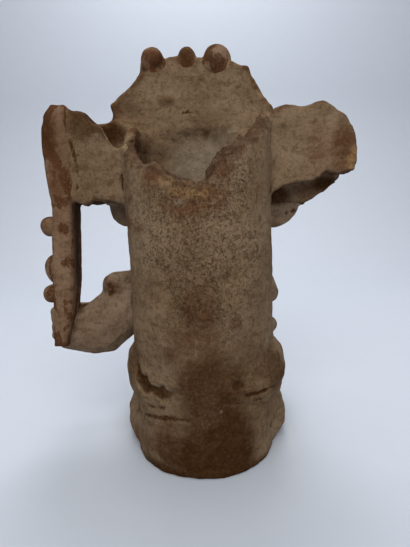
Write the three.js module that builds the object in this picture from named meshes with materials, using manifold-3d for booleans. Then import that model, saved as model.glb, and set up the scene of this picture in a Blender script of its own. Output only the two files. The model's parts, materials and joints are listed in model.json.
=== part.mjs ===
// Terracotta effigy urn: a slab-built tube with a seated figure luted to its front.
// Millimetres, +Z up. The origin is the centre of the underside, and the figure faces -Y.
// Left and right are the figure's own, so its left side is +X.
import * as THREE from "three";
import { mergeVertices } from "three/addons/utils/BufferGeometryUtils.js";
import Module from "manifold-3d";

const wasm = await Module();
wasm.setup();

// Joints between the clay pieces
const SEAM = 0.3;

// Vessel: a tube on a set-in floor, with a broken mouth at the back
const VESSEL_RADIUS = 50;
const WALL = 8;
const FLOOR = 10;
const FOOT_ROUND = 2;
const RIM_HEIGHT = 237;
const BREAK_SLOPE = 4;
// Angle from the back towards the figure's left, and depth of the break under the rim there
const RIM_BREAK = [
  [-180, 0], [-92, 0], [-72, 6], [-54, 15], [-45, 21], [-30, 25], [-20, 30], [-12, 36], [-6, 44], [0, 47.5],
  [9, 47], [16, 45], [22, 42], [28, 37], [35, 34], [52, 34], [75, 24], [92, 12], [104, 3], [112, 0], [180, 0],
];
// The same angle, and how far the mouth's inner edge is smoothed down under the headdress panel
const MOUTH_SLOPE = [
  [-180, 0], [-150, 4], [-125, 9], [-96, 7], [-80, 0], [98, 0], [112, 8], [125, 9], [150, 4], [180, 0],
];

// Seat under the figure, a little off the vessel's middle
const PLINTH_HEIGHT = 34;
const PLINTH_HALF_WIDTH = 61;
const PLINTH_REACH = 42;
const PLINTH_CORNER = 21;
const PLINTH_ROUND = 10;
const PLINTH_SHIFT = -1.5;
// Outer edge behind the front corner: distance from the side, and setback from the vessel's front
const PLINTH_SIDE = [[0, 42], [5, 54], [22, 66]];

// Legs, folded on the seat, with thighs that hug the vessel
const THIGH_HALF_HEIGHT = 24;
const LEFT_THIGH_SWELL = 8;
const RIGHT_THIGH_SWELL = 10.5;
// Angle from the back, and shares of the swell and of the height there
const THIGH_COURSE = [[20, 0.1, 0.25], [52, 0.6, 0.75], [92, 1, 1], [125, 1.3, 0.95]];
const KNEE_RADIUS = 19;
const KNEE_FLATNESS = 0.85;
const KNEE_OFFSET = 48;
const KNEE_REACH = 20;
const SHIN_RADIUS = 12;
const ANKLE_RADIUS = 9.6;
const LEFT_SHIN_REACH = 12;
const RIGHT_SHIN_REACH = 5;
const FOOT_LENGTH = 22;
const TOE_TURN = 3;
const TOE_HALF_HEIGHT = 5.4;

// Torso, belt and loincloth
const TORSO_HALF_WIDTH = 38;
const TORSO_REACH = 28;
const TORSO_BASE = 50;
const TORSO_TOP = 152;
const BELT_LEVEL = 88;
const BELT_RADIUS = 6.5;
const BELT_CHEST_TURN = 75;
const BELT_RIGHT_END = -98;
const BELT_LEFT_END = 114;
const LOINCLOTH_HALF_WIDTH = 14;
const LOINCLOTH_THICKNESS = 5;
const LOINCLOTH_HEM = 12;

// Collar, under the torso's top
const COLLAR_DROP = 19;
const COLLAR_HALF_HEIGHT = 5;
const COLLAR_HALF_DEPTH = 4;
const COLLAR_TURN = 78;
const COLLAR_BEADS = 5;
const COLLAR_BEAD_TURN = 60;
const COLLAR_BEAD_RADIUS = 4.6;

// Arms, from shoulders under the torso's top
const SHOULDER_DROP = 20;
const SHOULDER_INSET = 4;
const SHOULDER_REACH = 8;
const SHOULDER_RADIUS = 11;
const UPPER_ARM_TUCK = 6;
const UPPER_ARM_DROP = 12;
const ARM_SETBACK = 16;
const LEFT_ELBOW_REACH = 15;
const LEFT_ELBOW_DROP = 13;
const LEFT_ELBOW_RADIUS = 11.5;
// Left forearm: reach from the vessel's side, setback, drop under the elbow, half depth and half height
const LEFT_FOREARM = [[4, 16, 11, 15, 18], [28, 16, 31, 15, 21], [50, 13, 34, 13.5, 14.3]];
const RIGHT_ELBOW_DROP = 22;
const RIGHT_ELBOW_RADIUS = 9;
const RIGHT_WRIST_RADIUS = 6.8;
const RIGHT_WRIST_INSET = 2;

// Hands: one round the staff, one flat on the knee
const FINGER_RADIUS = 3.6;
const FINGER_PITCH = 6.2;
const FINGER_COUNT = 4;
const FINGER_ROOT = 4;
const KNUCKLE = 2;
// Flat hand: distance past the wrist, drop, half width and half thickness, then the same for a finger
const PALM = [[8, 1, 11, 6], [16, 4, 12, 5]];
const FLAT_FINGER = [[14, 3, 3.6], [21, 12, 3.6], [22, 22, 3.2]];

// Headdress wings: two slabs with a hollow between them
const WING_LEVEL = 181;
const WING_BACK = 8;
const WING_DEPTH = 32;
const PLATE = 8;
const LEFT_WING_REACH = 38;
const WING_FRONT_HEIGHT = 55.5;
const WING_EDGE_ROUND = 1.2;
// Torn edges of the wing slabs: reach from the vessel's side, and height over the wing level
const LEFT_BACK_TOP = [[31, 61], [25, 60], [19, 53], [14, 50], [10, 42], [5, 37], [-5, 35]];
const LEFT_BACK_FOOT = [[-5, 0], [9, 0], [21, 2], [26, -2], [31, 0]];
const RIGHT_BACK_END = [[41, 60], [48, 56], [53, 51], [56, 43], [57, 33], [57, 17]];
const RIGHT_BACK_TOP = [[-5, 49], [3, 58], [9, 61], [24, 60], [34, 63]];
const RIGHT_BACK_FOOT = [[45, 14], [37, 16], [29, 10], [16, 9], [-5, 4]];
const RIGHT_FRONT_FOOT = [[54, 14], [47, 7], [37, -1], [27, -5], [-5, -3]];
const RIGHT_FRONT_REACH = 54;
const RIGHT_END_WALL = 7;

// Staff at the left wing's edge: distance from its inner top corner, and height over the wing level
const STAFF_DEPTH = 24;
const STAFF_ROUND = 2.5;
const STAFF_INNER = [[0, 64], [0, 4], [1, -31], [5, -74], [11, -101]];
const STAFF_OUTER = [[20, -101], [17, -66], [14, -24], [12, -3], [15, 33], [13, 56], [7, 65]];
// Bosses on the staff: height over the wing level, radius, half length along the staff, distance out
const STAFF_BOSSES = [[-15, 6.8, 7, 5.5], [-46, 7, 10.5, 2.5], [-64, 6.6, 6.8, 5.5]];
const GRIP_LEVEL = -87;

// Headdress panel: a fan that stands on the rim, hollow towards the back
const PANEL_RADIUS = 85;
const PANEL_THICKNESS = 9;
// Distance to the figure's left, and height over the rim
const PANEL_OUTLINE = [
  [-55, 0], [-55.5, 9], [-47.5, 22], [-41, 35], [-39.5, 40], [-26, 47], [-2, 51], [13, 52],
  [24, 48.5], [39, 46], [40, 38], [44, 32], [55, 19.5], [60, 12.5], [56.5, 4], [56, 0],
];
// Crest knobs: name, distance to the left, half width, half height, lift over the panel's edge, setback
const CREST_KNOBS = [
  ["left", 32, 8, 8, 2.5, 2.5], ["centre", 6, 7, 8, 0, 0], ["right", -17, 9.5, 10, 1.5, -1],
];

// Head, with the chin tucked into the torso's top
const CHIN_TUCK = 8;
const HEAD_HALF_HEIGHT = 34;
const HEAD_HALF_WIDTH = 31;
const FACE_REACH = 40;
const CHIN_RADIUS = 7;
const CHIN_SINK = 3;
const EYE_HALF_WIDTH = 6.4;
const EYE_HALF_HEIGHT = 3.8;
const EYE_SINK = 1;
const SOCKET_HALF_WIDTH = 9.6;
const SOCKET_HALF_HEIGHT = 6.8;
const SOCKET_DEPTH = 2.5;
const LID_SLIT = 1.2;
const EAR = [9, 8, 13];
const EAR_OFFSET = 36;
const EAR_SETBACK = 6;
// Nose: height over the eyes, lift off the face, half width and half depth
const NOSE_BRIDGE = [[6, 0, 3, 3], [-5, 2.5, 3.8, 4.5], [-14, 5, 5.2, 6]];
const NOSTRIL = [3.6, 5, 3.4];
const NOSTRIL_OFFSET = 5.5;
const NOSTRIL_LIFT = 1.5;
const LIP_HALF_WIDTH = 9.5;
const LIP_POUT = 0.8;
// Lips: height over the line of the mouth, bow at the peaks, half thickness
const UPPER_LIP = [1.8, 1, 2.2];
const LOWER_LIP = [-2.6, 0, 2.6];

// Brow band, tier and medallion of the headdress
const BAND_HALF_HEIGHT = 6.5;
const BAND_THICKNESS = 5;
const BAND_RISE = 22;
const BAND_TURN = 88;
const BAND_STATIONS = 7;
const BAND_BEADS = 5;
const BAND_BEAD_TURN = 64;
const BAND_BEAD_RADIUS = 4.5;
const TIER_HALF_WIDTH = 36;
const TIER_REACH = 31;
const TIER_ROUND = 3;
const MEDALLION_RADIUS = 11;
const MEDALLION_THICKNESS = 5;
const MEDALLION_RIM = 4;
const MEDALLION_DISH = 1.5;
const MEDALLION_BOSS_RADIUS = 4.4;

// Ear spools
const SPOOL_LEVEL = 175.5;
const SPOOL_SETBACK = 20;
const SPOOL_LENGTH = 16;
const SPOOL_BITE = 7;
const SPOOL_FLARE = 1.4;
const SPOOL_HOLLOW = 3;
const SPOOL_RIM = 3.4;
const SPOOL_BOSS_RADIUS = 4.8;
const LEFT_SPOOL_RADIUS = 12;
const RIGHT_SPOOL_RADIUS = 15.5;

// Facets
const VESSEL_FACETS = 64;
const LIMB = { facets: 10, steps: 2 };
const COIL = { facets: 8, steps: 2 };
const END_RINGS = 2;
const BODY_FACETS = 18;
const PELLET_FACETS = 10;
const BEAD_FACETS = 8;
const ARC_STEPS = 8;

// Places that follow from the sizes above
const FRONT = -VESSEL_RADIUS;
const TORSO_LEVEL = (TORSO_BASE + TORSO_TOP) / 2;
const TORSO_HALF_HEIGHT = (TORSO_TOP - TORSO_BASE) / 2;
const COLLAR_LEVEL = TORSO_TOP - COLLAR_DROP;
const SHOULDER_LEVEL = TORSO_TOP - SHOULDER_DROP;
const LEFT_ELBOW_LEVEL = SHOULDER_LEVEL - LEFT_ELBOW_DROP;
const RIGHT_ELBOW_LEVEL = SHOULDER_LEVEL - RIGHT_ELBOW_DROP;
const HEAD_LEVEL = TORSO_TOP - CHIN_TUCK + HEAD_HALF_HEIGHT;
const BAND_LEVEL = HEAD_LEVEL + BAND_RISE;
const TIER_FOOT = BAND_LEVEL + BAND_HALF_HEIGHT + SEAM;
const TIER_LEVEL = (TIER_FOOT + RIM_HEIGHT) / 2;
const STAFF_EDGE = VESSEL_RADIUS + LEFT_WING_REACH + SEAM;
const STAFF_MIDDLE = WING_BACK - STAFF_DEPTH / 2;
const WING_FRONT_FACE = WING_BACK - WING_DEPTH + PLATE;
const PANEL_AXIS = FRONT + WALL + PANEL_RADIUS;
const UP = new THREE.Vector3(0, 0, 1);
const BACK = new THREE.Vector3(0, 1, 0);
const SIDEWAYS = new THREE.Vector3(1, 0, 0);

const buff = new THREE.MeshStandardMaterial({ color: 0x7d6650, roughness: 0.95, metalness: 0 });
const ruddy = new THREE.MeshStandardMaterial({ color: 0x7a4e33, roughness: 0.92, metalness: 0 });
const dusky = new THREE.MeshStandardMaterial({ color: 0x5e4a3a, roughness: 0.96, metalness: 0 });

// Solids and meshes

function solidOf(geometry) {
  const bare = geometry.clone();
  bare.deleteAttribute("normal");
  bare.deleteAttribute("uv");
  const merged = mergeVertices(bare, 1e-4);
  const corners = merged.index.array;
  const kept = [];
  for (let i = 0; i < corners.length; i += 3) {
    const [a, b, c] = [corners[i], corners[i + 1], corners[i + 2]];
    if (a !== b && b !== c && c !== a) kept.push(a, b, c);
  }
  const vertProperties = new Float32Array(merged.attributes.position.array);
  return new wasm.Manifold(new wasm.Mesh({ numProp: 3, vertProperties, triVerts: new Uint32Array(kept) }));
}

function geometryOf(solid) {
  const mesh = solid.getMesh();
  const geometry = new THREE.BufferGeometry();
  geometry.setAttribute("position", new THREE.BufferAttribute(mesh.vertProperties, 3));
  geometry.setIndex(new THREE.BufferAttribute(mesh.triVerts, 1));
  geometry.computeVertexNormals();
  return geometry;
}

// Skin over rings with equal counts: closed by two poles, or else from the last ring to the first
function skin(rings, poles) {
  const count = rings[0].length;
  const points = rings.flat();
  const faces = [];
  const joins = poles ? rings.length - 1 : rings.length;
  for (let row = 0; row < joins; row += 1) {
    const next = (row + 1) % rings.length;
    for (let k = 0; k < count; k += 1) {
      const k1 = (k + 1) % count;
      const [a, b] = [row * count + k, row * count + k1];
      const [c, d] = [next * count + k1, next * count + k];
      faces.push(a, c, b, a, d, c);
    }
  }
  if (poles) {
    const last = (rings.length - 1) * count;
    const [start, end] = [points.length, points.length + 1];
    points.push(poles[0], poles[1]);
    for (let k = 0; k < count; k += 1) {
      const k1 = (k + 1) % count;
      faces.push(start, k, k1, end, last + k1, last + k);
    }
  }
  const geometry = new THREE.BufferGeometry().setFromPoints(points);
  geometry.setIndex(faces);
  return solidOf(geometry);
}

// Clay roll with rounded ends along a smooth path of stations [x, y, z, half width, half height].
// The half width lies square to the path and to the direction given by across.
function roll(stations, grow, { facets, steps } = LIMB, across = UP) {
  const place = (s) => new THREE.Vector3(s[0], s[1], s[2]);
  const size = (s) => new THREE.Vector3(s[3], s[4] ?? s[3], 0);
  const path = new THREE.CatmullRomCurve3(stations.map(place));
  const sizes = new THREE.CatmullRomCurve3(stations.map(size));
  const rings = [];
  const addRing = (t, shift, scale) => {
    const along = path.getTangent(t);
    const side = new THREE.Vector3().crossVectors(along, across).normalize();
    const lift = new THREE.Vector3().crossVectors(side, along);
    const centre = path.getPoint(t).addScaledVector(along, shift);
    const { x: wide, y: high } = sizes.getPoint(t);
    const ring = [];
    for (let k = 0; k < facets; k += 1) {
      const turn = (2 * Math.PI * k) / facets;
      const point = centre.clone().addScaledVector(side, Math.cos(turn) * (wide + grow) * scale);
      ring.push(point.addScaledVector(lift, Math.sin(turn) * (high + grow) * scale));
    }
    rings.push(ring);
  };
  const endLength = (t) => Math.min(sizes.getPoint(t).x, sizes.getPoint(t).y) + grow;
  const quarter = (ring) => (Math.PI / 2) * (ring / END_RINGS);
  for (let ring = END_RINGS - 1; ring > 0; ring -= 1) {
    addRing(0, -endLength(0) * Math.sin(quarter(ring)), Math.cos(quarter(ring)));
  }
  const spans = (stations.length - 1) * steps;
  for (let span = 0; span <= spans; span += 1) addRing(span / spans, 0, 1);
  for (let ring = 1; ring < END_RINGS; ring += 1) {
    addRing(1, endLength(1) * Math.sin(quarter(ring)), Math.cos(quarter(ring)));
  }
  const tip = (t, sign) => path.getPoint(t).addScaledVector(path.getTangent(t), sign * endLength(t));
  return skin(rings, [tip(0, -1), tip(1, 1)]);
}

// Ball of clay, pressed to three half sizes
function pellet([x, y, z], [rx, ry, rz], grow, facets = PELLET_FACETS) {
  const ball = new THREE.SphereGeometry(1, facets, Math.round(facets * 0.7));
  ball.rotateX(Math.PI / 2);
  ball.scale(rx + grow, ry + grow, rz + grow);
  ball.translate(x, y, z);
  return solidOf(ball);
}

const bead = (place, radius, grow) => pellet(place, [radius, radius, radius], grow, BEAD_FACETS);

// Rolled-out slab with an upright outline, its back face at the given place
function slab(shape, back, thickness, round, grow) {
  const plate = extruded(shape, thickness + 2 * grow - 2 * round, round, grow);
  plate.rotateX(Math.PI / 2);
  plate.translate(0, back + grow - round, 0);
  return solidOf(plate);
}

// Block with an outline in plan, between two levels
function block(shape, foot, top, round, grow) {
  const body = extruded(shape, top - foot + 2 * grow - 2 * round, round, grow);
  body.translate(0, 0, foot - grow + round);
  return solidOf(body);
}

function extruded(shape, depth, round, grow) {
  return new THREE.ExtrudeGeometry(shape, {
    depth,
    curveSegments: 2,
    bevelThickness: round,
    bevelSize: round,
    bevelOffset: grow - round,
    bevelSegments: 2,
  });
}

// Turned form about a line along +Y through the given place, from a profile of [radius, distance]
function turned(profile, [x, y, z]) {
  const points = profile.map((p) => new THREE.Vector2(p[0], p[1]));
  const form = new THREE.LatheGeometry(points.reverse(), BODY_FACETS);
  form.translate(x, y, z);
  return solidOf(form);
}

function outline(points) {
  return new THREE.Shape(points.map((p) => new THREE.Vector2(p[0], p[1])));
}

function between(table, key) {
  const next = table.findIndex((row) => row[0] >= key);
  if (next <= 0) return table[Math.max(next, 0)][1];
  const [[k0, v0], [k1, v1]] = [table[next - 1], table[next]];
  return v0 + ((v1 - v0) * (key - k0)) / (k1 - k0);
}

// Place on a circle about the vessel's axis, by the angle from the back towards the left
function around(degrees, radius, level) {
  const turn = THREE.MathUtils.degToRad(degrees);
  return [radius * Math.sin(turn), radius * Math.cos(turn), level];
}

// Place on an oval in front of the vessel, by the angle from straight ahead towards the left
function ahead(degrees, halfWidth, reach, level) {
  const turn = THREE.MathUtils.degToRad(degrees);
  return [halfWidth * Math.sin(turn), FRONT - reach * Math.cos(turn), level];
}

// Even spread from side to side
const fan = (count, half) => Array.from({ length: count }, (_, i) => half * ((2 * i) / (count - 1) - 1));

const mirrored = (stations) => stations.map(([x, ...rest]) => [-x, ...rest]);

// Luting: each piece is trimmed to the pieces already there, less the seam

const urn = new THREE.Group();
const hosts = [];

function add(name, solid, material) {
  const mesh = new THREE.Mesh(geometryOf(solid), material);
  mesh.name = name;
  urn.add(mesh);
}

function meets(a, b) {
  const [p, q] = [a.boundingBox(), b.boundingBox()];
  return [0, 1, 2].every((i) => p.min[i] < q.max[i] && q.min[i] < p.max[i]);
}

function lute(name, form, material) {
  let solid = form(0);
  for (const host of hosts) {
    if (meets(solid, host)) solid = solid.subtract(host);
  }
  hosts.push(form(SEAM));
  add(name, solid, material);
}

// Vessel

function rimAt(degrees) {
  return RIM_HEIGHT - between(RIM_BREAK, degrees);
}

function innerRimAt(degrees) {
  return Math.min(RIM_HEIGHT, rimAt(degrees) + BREAK_SLOPE) - between(MOUTH_SLOPE, degrees);
}

function vesselWall() {
  const bevel = FOOT_ROUND * 0.3;
  const rows = [
    [VESSEL_RADIUS - FOOT_ROUND, () => 0],
    [VESSEL_RADIUS - bevel, () => bevel],
    [VESSEL_RADIUS, () => FOOT_ROUND],
    [VESSEL_RADIUS, (angle) => rimAt(angle)],
    [VESSEL_RADIUS - WALL, (angle) => innerRimAt(angle)],
    [VESSEL_RADIUS - WALL, () => 0],
  ];
  const angles = Array.from({ length: VESSEL_FACETS }, (_, i) => (360 * i) / VESSEL_FACETS - 180);
  const ring = ([radius, level]) => angles.map((a) => new THREE.Vector3(...around(a, radius, level(a))));
  return skin(rows.map(ring), null);
}

// Room that the vessel takes up, filled to the rim
function vesselRoom(grow) {
  const radius = VESSEL_RADIUS + grow;
  const profile = [[0, -FLOOR], [radius, -FLOOR], [radius, RIM_HEIGHT + grow], [0, RIM_HEIGHT + grow]];
  const points = profile.map((p) => new THREE.Vector2(p[0], p[1]));
  const room = new THREE.LatheGeometry(points, VESSEL_FACETS);
  room.rotateX(Math.PI / 2);
  return solidOf(room);
}

function vesselFloor() {
  const radius = VESSEL_RADIUS - WALL - SEAM;
  const disc = new THREE.CylinderGeometry(radius, radius, FLOOR, VESSEL_FACETS);
  disc.rotateX(Math.PI / 2);
  disc.translate(0, 0, FLOOR / 2);
  return solidOf(disc);
}

// Seat and legs

function plinth(grow) {
  const front = FRONT - PLINTH_REACH;
  const wide = PLINTH_HALF_WIDTH;
  const straight = wide - PLINTH_CORNER;
  const side = PLINTH_SIDE.map(([inset, setback]) => [wide - inset, FRONT + setback]);
  const edge = new THREE.Shape();
  edge.moveTo(-straight, front);
  edge.lineTo(straight, front);
  edge.quadraticCurveTo(wide, front, wide, front + PLINTH_CORNER);
  side.forEach(([x, y]) => edge.lineTo(x, y));
  mirrored(side).reverse().forEach(([x, y]) => edge.lineTo(x, y));
  edge.lineTo(-wide, front + PLINTH_CORNER);
  edge.quadraticCurveTo(-wide, front, -straight, front);
  const shape = outline(edge.getPoints(ARC_STEPS / 2).map((p) => [p.x + PLINTH_SHIFT, p.y]));
  return block(shape, grow, PLINTH_HEIGHT, PLINTH_ROUND, grow);
}

const onSeat = (halfHeight) => PLINTH_HEIGHT + SEAM + halfHeight;

// The thigh starts thin at the vessel's back, swells at its side and ends in the knee
function thighStations(fullSwell) {
  const level = onSeat(THIGH_HALF_HEIGHT);
  const course = THIGH_COURSE.map(([degrees, swell, height]) => {
    const wide = WALL / 2 + fullSwell * swell;
    return [...around(degrees, VESSEL_RADIUS - WALL / 2, level), wide, THIGH_HALF_HEIGHT * height];
  });
  const flat = KNEE_RADIUS * KNEE_FLATNESS;
  return [...course, [KNEE_OFFSET, FRONT - KNEE_REACH, onSeat(KNEE_RADIUS), flat, KNEE_RADIUS]];
}

const ANKLE_OFFSET = ANKLE_RADIUS * 0.75;

function shinStations(reach) {
  const knee = FRONT - KNEE_REACH;
  const level = onSeat(SHIN_RADIUS);
  return [
    [KNEE_OFFSET - SHIN_RADIUS, knee - SHIN_RADIUS * 0.6, onSeat(KNEE_RADIUS * 0.75), SHIN_RADIUS],
    [KNEE_OFFSET * 0.4, knee - reach, level, SHIN_RADIUS],
    [-ANKLE_OFFSET, knee - reach, level, ANKLE_RADIUS],
  ];
}

function footStations(reach) {
  const heel = -ANKLE_OFFSET * 2;
  const y = FRONT - KNEE_REACH - reach;
  const thick = SHIN_RADIUS * 0.75;
  return [
    [heel, y, onSeat(thick), thick],
    [heel - FOOT_LENGTH / 2, y - TOE_TURN * 0.6, onSeat(thick * 0.9), thick * 0.9],
    [heel - FOOT_LENGTH, y - TOE_TURN, onSeat(TOE_HALF_HEIGHT), thick, TOE_HALF_HEIGHT],
  ];
}

// Torso and dress

function torso(grow) {
  const egg = [TORSO_HALF_WIDTH, TORSO_REACH, TORSO_HALF_HEIGHT];
  return pellet([0, FRONT, TORSO_LEVEL], egg, grow, BODY_FACETS);
}

// Place on the chest at a level, lifted off its surface
function onTorso(degrees, level, lift = 0) {
  const slice = Math.sqrt(Math.max(0, 1 - ((level - TORSO_LEVEL) / TORSO_HALF_HEIGHT) ** 2));
  return ahead(degrees, TORSO_HALF_WIDTH * slice + lift, TORSO_REACH * slice + lift, level);
}

function beltStations() {
  const end = (degrees) => [...around(degrees, VESSEL_RADIUS, BELT_LEVEL), BELT_RADIUS];
  const chest = fan(5, BELT_CHEST_TURN).map((turn) => [...onTorso(turn, BELT_LEVEL), BELT_RADIUS]);
  return [end(BELT_RIGHT_END), ...chest, end(BELT_LEFT_END)];
}

function loinclothStations() {
  const size = [LOINCLOTH_THICKNESS / 2, LOINCLOTH_HALF_WIDTH];
  const shins = FRONT - KNEE_REACH - LEFT_SHIN_REACH - SHIN_RADIUS - LOINCLOTH_THICKNESS / 2;
  const front = FRONT - PLINTH_REACH - LOINCLOTH_THICKNESS / 2;
  return [
    [0, FRONT - TORSO_REACH - BELT_RADIUS, BELT_LEVEL - BELT_RADIUS, ...size],
    [0, shins, onSeat(SHIN_RADIUS * 1.8), ...size],
    [0, shins, onSeat(SHIN_RADIUS * 0.6), ...size],
    [0, front, LOINCLOTH_HEM, ...size],
  ];
}

function collarStations() {
  const size = [COLLAR_HALF_DEPTH, COLLAR_HALF_HEIGHT];
  return fan(5, COLLAR_TURN).map((turn) => [...onTorso(turn, COLLAR_LEVEL), ...size]);
}

function collarBead(degrees, grow) {
  return bead(onTorso(degrees, COLLAR_LEVEL, COLLAR_HALF_DEPTH), COLLAR_BEAD_RADIUS, grow);
}

// Headdress wings and staff

const leftSide = ([reach, rise]) => [VESSEL_RADIUS + reach, WING_LEVEL + rise];
const rightSide = ([reach, rise]) => [-VESSEL_RADIUS - reach, WING_LEVEL + rise];

// The back slab ends at the staff, between two heights just inside the staff's own ends
function leftWingBack(grow) {
  const [top, foot] = STAFF_INNER;
  const edge = [[LEFT_WING_REACH, foot[1]], [LEFT_WING_REACH, top[1]]];
  const shape = outline([...LEFT_BACK_FOOT, ...edge, ...LEFT_BACK_TOP].map(leftSide));
  return slab(shape, WING_BACK, PLATE, WING_EDGE_ROUND, grow);
}

function leftWingFront(grow) {
  const [reach, rise] = [LEFT_WING_REACH, WING_FRONT_HEIGHT];
  const shape = outline([[-WALL, 0], [reach, 0], [reach, rise], [-WALL, rise]].map(leftSide));
  return slab(shape, WING_FRONT_FACE, PLATE, WING_EDGE_ROUND, grow);
}

function rightWingBack(grow) {
  const shape = outline([...RIGHT_BACK_TOP, ...RIGHT_BACK_END, ...RIGHT_BACK_FOOT].map(rightSide));
  return slab(shape, WING_BACK, PLATE, WING_EDGE_ROUND, grow);
}

function rightWingFront(grow) {
  const [reach, rise] = [RIGHT_FRONT_REACH, WING_FRONT_HEIGHT];
  const top = [[-WALL, rise], [reach - WALL, rise], [reach, rise - WALL]];
  const shape = outline([...top, ...RIGHT_FRONT_FOOT].map(rightSide));
  return slab(shape, WING_FRONT_FACE, PLATE, WING_EDGE_ROUND, grow);
}

// Wall that closes the right wing's outer end, between its two slabs
function rightWingEnd(grow) {
  const outer = RIGHT_BACK_END.slice(2);
  const inner = outer.map(([reach, rise]) => [reach - RIGHT_END_WALL, rise]).reverse();
  const shape = outline([...outer, ...inner].map(rightSide));
  return slab(shape, WING_BACK - PLATE - SEAM, WING_DEPTH - 2 * (PLATE + SEAM), WING_EDGE_ROUND, grow);
}

const staffSide = ([out, rise]) => new THREE.Vector2(STAFF_EDGE + out, WING_LEVEL + rise);

function staff(grow) {
  const inner = STAFF_INNER.map(staffSide);
  const outer = STAFF_OUTER.map(staffSide);
  const shape = new THREE.Shape();
  shape.moveTo(inner[0].x, inner[0].y);
  shape.splineThru(inner.slice(1));
  shape.lineTo(outer[0].x, outer[0].y);
  shape.splineThru(outer.slice(1));
  return slab(shape, WING_BACK, STAFF_DEPTH, STAFF_ROUND, grow);
}

const byRise = (edge) => edge.map(([out, rise]) => [rise, out]).sort((a, b) => a[0] - b[0]);
const staffOuter = (rise) => STAFF_EDGE + between(byRise(STAFF_OUTER), rise);
const staffInner = (rise) => STAFF_EDGE + between(byRise(STAFF_INNER), rise);

function staffBoss([rise, radius, half, out], grow) {
  const place = [staffOuter(rise) + out, STAFF_MIDDLE, WING_LEVEL + rise];
  return pellet(place, [radius, radius, half], grow);
}

// Headdress panel and its crest

const panelFace = (x, depth) => PANEL_AXIS - Math.sqrt((PANEL_RADIUS + depth) ** 2 - x ** 2);
const panelTop = (x) => RIM_HEIGHT + SEAM + between(PANEL_OUTLINE.slice(1, -1), x);

function panel(grow) {
  const upright = (radius) => {
    const drum = new THREE.CylinderGeometry(radius, radius, RIM_HEIGHT, VESSEL_FACETS);
    drum.rotateX(Math.PI / 2);
    drum.translate(0, PANEL_AXIS, RIM_HEIGHT);
    return solidOf(drum);
  };
  const shell = upright(PANEL_RADIUS + PANEL_THICKNESS + grow).subtract(upright(PANEL_RADIUS - grow));
  const shape = outline(PANEL_OUTLINE.map(([x, rise]) => [x, RIM_HEIGHT + SEAM + rise]).reverse());
  return shell.intersect(slab(shape, PANEL_AXIS - PANEL_RADIUS / 2, PANEL_RADIUS, WING_EDGE_ROUND, grow));
}

function crestKnob([, x, wide, high, lift, setback], grow) {
  const y = panelFace(x, PANEL_THICKNESS / 2) + setback;
  return pellet([x, y, panelTop(x) + lift], [wide, wide, high], grow);
}

// Head

function onFace(x, rise, lift = 0) {
  const slice = 1 - (x / HEAD_HALF_WIDTH) ** 2 - (rise / HEAD_HALF_HEIGHT) ** 2;
  return [x, FRONT - FACE_REACH * Math.sqrt(Math.max(0, slice)) - lift, HEAD_LEVEL + rise];
}

// The eyes lie halfway up, the nose ends halfway down from there and the mouth a third below it
const EYE_OFFSET = EYE_HALF_WIDTH * 2;
const NOSE_FOOT = -HEAD_HALF_HEIGHT / 2;
const MOUTH_RISE = NOSE_FOOT + NOSE_FOOT / 3;

// Egg-shaped head with a rounded chin, ears and shallow eye sockets
function head(grow) {
  const egg = [HEAD_HALF_WIDTH, FACE_REACH, HEAD_HALF_HEIGHT];
  const skull = pellet([0, FRONT, HEAD_LEVEL], egg, grow, BODY_FACETS);
  const ball = [CHIN_RADIUS * 1.3, CHIN_RADIUS, CHIN_RADIUS];
  const chin = pellet(onFace(0, CHIN_RADIUS * 0.85 - HEAD_HALF_HEIGHT, -CHIN_SINK), ball, grow);
  const ear = (side) => pellet([side * EAR_OFFSET, FRONT + EAR_SETBACK, HEAD_LEVEL], EAR, grow, BEAD_FACETS);
  const hollow = [SOCKET_HALF_WIDTH, SOCKET_DEPTH * 2, SOCKET_HALF_HEIGHT];
  const socket = (x) => pellet(onFace(x, 0, SOCKET_DEPTH), hollow, -grow, BEAD_FACETS);
  const solid = skull.add(chin).add(ear(1)).add(ear(-1));
  return solid.subtract(socket(EYE_OFFSET)).subtract(socket(-EYE_OFFSET));
}

function eye(x, grow) {
  const ball = [EYE_HALF_WIDTH, EYE_HALF_HEIGHT, EYE_HALF_HEIGHT];
  const cut = [EYE_HALF_WIDTH * 0.85, EYE_HALF_HEIGHT / 2, LID_SLIT / 2];
  const slit = pellet(onFace(x, 0, EYE_HALF_HEIGHT - EYE_SINK), cut, -grow);
  return pellet(onFace(x, 0, -EYE_SINK), ball, grow).subtract(slit);
}

function nose(grow) {
  const stations = NOSE_BRIDGE.map(([rise, lift, ...size]) => [...onFace(0, rise, lift), ...size]);
  const place = (x) => onFace(x, NOSE_FOOT + NOSTRIL_LIFT, NOSTRIL_LIFT);
  const wing = (x) => pellet(place(x), NOSTRIL, grow, BEAD_FACETS);
  return roll(stations, grow, COIL, BACK).add(wing(NOSTRIL_OFFSET)).add(wing(-NOSTRIL_OFFSET));
}

function lip([rise, bow, half], grow) {
  const level = MOUTH_RISE + rise;
  const corner = [...onFace(LIP_HALF_WIDTH, MOUTH_RISE + rise * 0.35), half * 0.7, half * 0.45];
  const peak = [...onFace(LIP_HALF_WIDTH * 0.4, level + bow, LIP_POUT / 2), half * 1.2, half];
  const middle = [...onFace(0, level, LIP_POUT), half * 1.2, half * 0.95];
  return roll([...mirrored([corner, peak]), middle, peak, corner], grow, COIL);
}

// Brow band, tier and medallion

function onBrow(degrees, lift = 0) {
  const slice = Math.sqrt(1 - (BAND_RISE / HEAD_HALF_HEIGHT) ** 2);
  return ahead(degrees, HEAD_HALF_WIDTH * slice + lift, FACE_REACH * slice + lift, BAND_LEVEL);
}

function browBandStations() {
  return fan(BAND_STATIONS, BAND_TURN).map((turn) => [...onBrow(turn), BAND_THICKNESS, BAND_HALF_HEIGHT]);
}

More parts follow.
